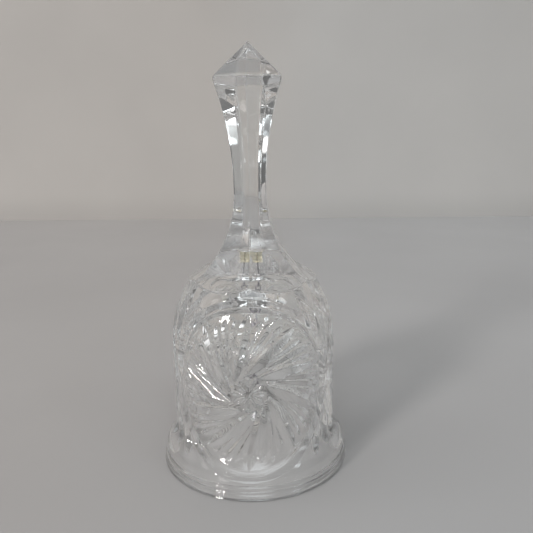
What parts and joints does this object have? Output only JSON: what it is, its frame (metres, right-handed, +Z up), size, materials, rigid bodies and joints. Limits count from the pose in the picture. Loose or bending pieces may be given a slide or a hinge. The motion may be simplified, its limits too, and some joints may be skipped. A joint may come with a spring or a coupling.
{
  "type": "glass hand bell",
  "caption": "Cut-glass hand bell: flared hollow bell, solid hexagonal handle with a pointed knob, and a glass drop clapper hanging inside on a wire chain.",
  "frame": {"origin": "centre of the rim, on the plane that the bell stands on", "axes": "+Z up along the bell's axis to the tip of the handle; -Y towards the viewer, through a corner of the handle and the middle of one medallion; +X to the viewer's right"},
  "size_m": [0.0756, 0.0756, 0.162],
  "materials": {
    "crystal_glass": "clear cut crystal, polished, with bright mitre cuts",
    "cement": "pale yellowish resin, slightly see-through",
    "chain_steel": "drawn wire, slightly tarnished",
    "drop_glass": "clear, fire polished"
  },
  "bodies": {
    "bell": {"bell_body": "crystal_glass", "handle": "crystal_glass", "crown_cement": "cement", "anchor_eye": "chain_steel"},
    "link_01": {"chain_link_01": "chain_steel"},
    "link_02": {"chain_link_02": "chain_steel"},
    "link_03": {"chain_link_03": "chain_steel"},
    "link_04": {"chain_link_04": "chain_steel"},
    "link_05": {"chain_link_05": "chain_steel"},
    "link_06": {"chain_link_06": "chain_steel"},
    "link_07": {"chain_link_07": "chain_steel"},
    "link_08": {"chain_link_08": "chain_steel"},
    "link_09": {"chain_link_09": "chain_steel"},
    "clapper": {"clapper_pin": "chain_steel", "clapper_drop": "drop_glass"}
  },
  "joints": [
    {"name": "link_01_swing", "type": "hinge", "parent": "bell", "child": "link_01", "pos_m": [0, 0, 0.0653], "axis": [0, 1, 0], "range_deg": [-28, 28]},
    {"name": "link_02_swing", "type": "hinge", "parent": "link_01", "child": "link_02", "pos_m": [0, 0, 0.06135], "axis": [1, 0, 0], "range_deg": [-31, 31]},
    {"name": "link_03_swing", "type": "hinge", "parent": "link_02", "child": "link_03", "pos_m": [0, 0, 0.0573], "axis": [0, -1, 0], "range_deg": [-34, 34]},
    {"name": "link_04_swing", "type": "hinge", "parent": "link_03", "child": "link_04", "pos_m": [0, 0, 0.05325], "axis": [-1, 0, 0], "range_deg": [-38, 38]},
    {"name": "link_05_swing", "type": "hinge", "parent": "link_04", "child": "link_05", "pos_m": [0, 0, 0.0492], "axis": [0, 1, 0], "range_deg": [-42, 42]},
    {"name": "link_06_swing", "type": "hinge", "parent": "link_05", "child": "link_06", "pos_m": [0, 0, 0.04515], "axis": [1, 0, 0], "range_deg": [-45, 45]},
    {"name": "link_07_swing", "type": "hinge", "parent": "link_06", "child": "link_07", "pos_m": [0, 0, 0.0411], "axis": [0, -1, 0], "range_deg": [-45, 45]},
    {"name": "link_08_swing", "type": "hinge", "parent": "link_07", "child": "link_08", "pos_m": [0, 0, 0.03705], "axis": [-1, 0, 0], "range_deg": [-45, 45]},
    {"name": "link_09_swing", "type": "hinge", "parent": "link_08", "child": "link_09", "pos_m": [0, 0, 0.033], "axis": [0, 1, 0], "range_deg": [-45, 45]},
    {"name": "clapper_swing", "type": "hinge", "parent": "link_09", "child": "clapper", "pos_m": [0, 0, 0.02895], "axis": [1, 0, 0], "range_deg": [-45, 45]}
  ]
}
